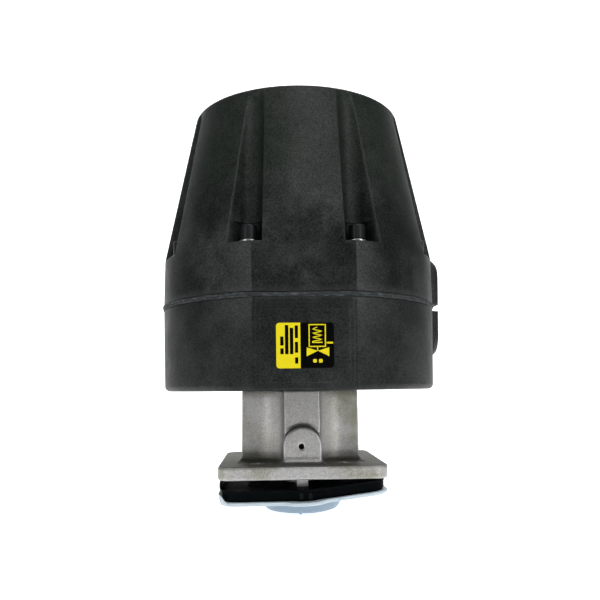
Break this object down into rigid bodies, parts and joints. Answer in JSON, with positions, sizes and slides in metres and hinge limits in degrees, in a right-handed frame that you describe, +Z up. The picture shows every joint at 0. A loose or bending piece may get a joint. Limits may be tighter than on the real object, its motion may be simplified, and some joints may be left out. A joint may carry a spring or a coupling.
{
  "type": "diaphragm valve actuator head",
  "caption": "Round tapered air actuator with flanged cast bonnet and hanging diaphragm; moves a spring-closed diaphragm valve.",
  "frame": {"origin": "centre of the bonnet flange's underside, on the spindle's axis", "axes": "+Z up along the spindle towards the indicator cap; -Y is the labelled front; +X carries the air ports"},
  "size_m": [0.1614, 0.1543, 0.2395],
  "materials": {
    "cast_stainless": "bead-blasted investment casting",
    "machined_steel": "turned",
    "screw_steel": "bright stainless fastener",
    "plate_steel": "zinc plated and passivated",
    "spring_steel": "epoxy coated",
    "insert_brass": "machined",
    "bearing_brass": "machined bearing bronze",
    "moulded_black": "glass-filled, moulded, scuffed",
    "cap_black": "satin moulded",
    "clear_plastic": "clear moulded",
    "indicator_red": "moulded",
    "seal_rubber": "moulded",
    "fabric_rubber": "fabric reinforced, cut edge",
    "backing_rubber": "moulded",
    "white_fluoropolymer": "translucent, moulded",
    "label_film": "printed film"
  },
  "bodies": {
    "housing": {"bonnet": "cast_stainless", "bonnet_screws": "screw_steel", "floor_seal": "seal_rubber", "spindle_bushing": "bearing_brass", "spindle_seals": "seal_rubber", "bushing_ring": "machined_steel", "bottom_cover": "moulded_black", "label": "label_film", "bolt_inserts": "insert_brass", "lower_port_insert": "insert_brass", "upper_port_insert": "insert_brass", "actuator_diaphragm": "fabric_rubber", "top_cover": "moulded_black", "cover_bolts": "screw_steel", "bolt_washers": "screw_steel", "bolt_caps": "cap_black", "indicator_cap": "clear_plastic", "cap_seal": "seal_rubber", "outer_spring": "spring_steel", "inner_spring": "spring_steel", "valve_diaphragm_backing": "backing_rubber", "valve_diaphragm_face": "white_fluoropolymer"},
    "spindle_group": {"spindle": "machined_steel", "lower_plate": "plate_steel", "upper_plate": "plate_steel", "plate_washer": "screw_steel", "plate_nut": "screw_steel", "indicator_rod": "indicator_red", "compressor": "cast_stainless", "compressor_pin": "machined_steel", "diaphragm_stud": "machined_steel"}
  },
  "joints": [
    {"name": "spindle_lift", "type": "slide", "parent": "housing", "child": "spindle_group", "axis": [0, 0, 1], "range_m": [0, 0.01], "stiffness_N_per_m": 9000, "springref_m": -0.03, "deforming": ["outer_spring", "inner_spring", "actuator_diaphragm", "valve_diaphragm_backing", "valve_diaphragm_face"]}
  ]
}
